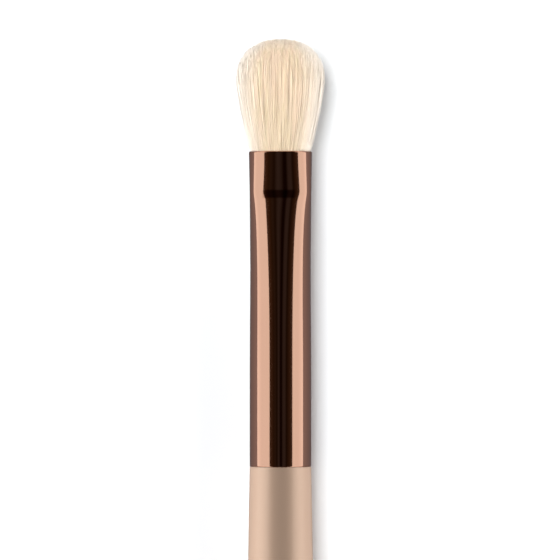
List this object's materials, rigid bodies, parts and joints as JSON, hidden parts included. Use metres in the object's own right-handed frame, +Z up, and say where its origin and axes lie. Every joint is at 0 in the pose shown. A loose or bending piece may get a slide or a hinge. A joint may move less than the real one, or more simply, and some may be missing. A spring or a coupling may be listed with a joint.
{
  "type": "eyeshadow brush",
  "caption": "Eyeshadow brush with a domed tuft of pale goat hair, a pressed bronze metal ferrule and a turned, lacquered wooden handle.",
  "frame": {"origin": "on the surface that the brush lies on, under the middle of its length", "axes": "+Y along the brush towards the tip of its hair, +X across the wide face of the hair, +Z up"},
  "size_m": [0.0112, 0.17, 0.0087],
  "materials": {
    "hair": "fine straight goat hair, cream",
    "thread": "twisted polyester thread",
    "hair_glue": "set epoxy, amber",
    "ferrule_metal": "polished, plated in pinkish bronze",
    "handle_glue": "set adhesive",
    "lacquered_wood": "satin taupe lacquer"
  },
  "bodies": {
    "root": {"hair_tuft": "hair", "binding_thread": "thread", "hair_glue_plug": "hair_glue", "ferrule": "ferrule_metal", "handle_adhesive": "handle_glue", "handle": "lacquered_wood"}
  },
  "joints": []
}
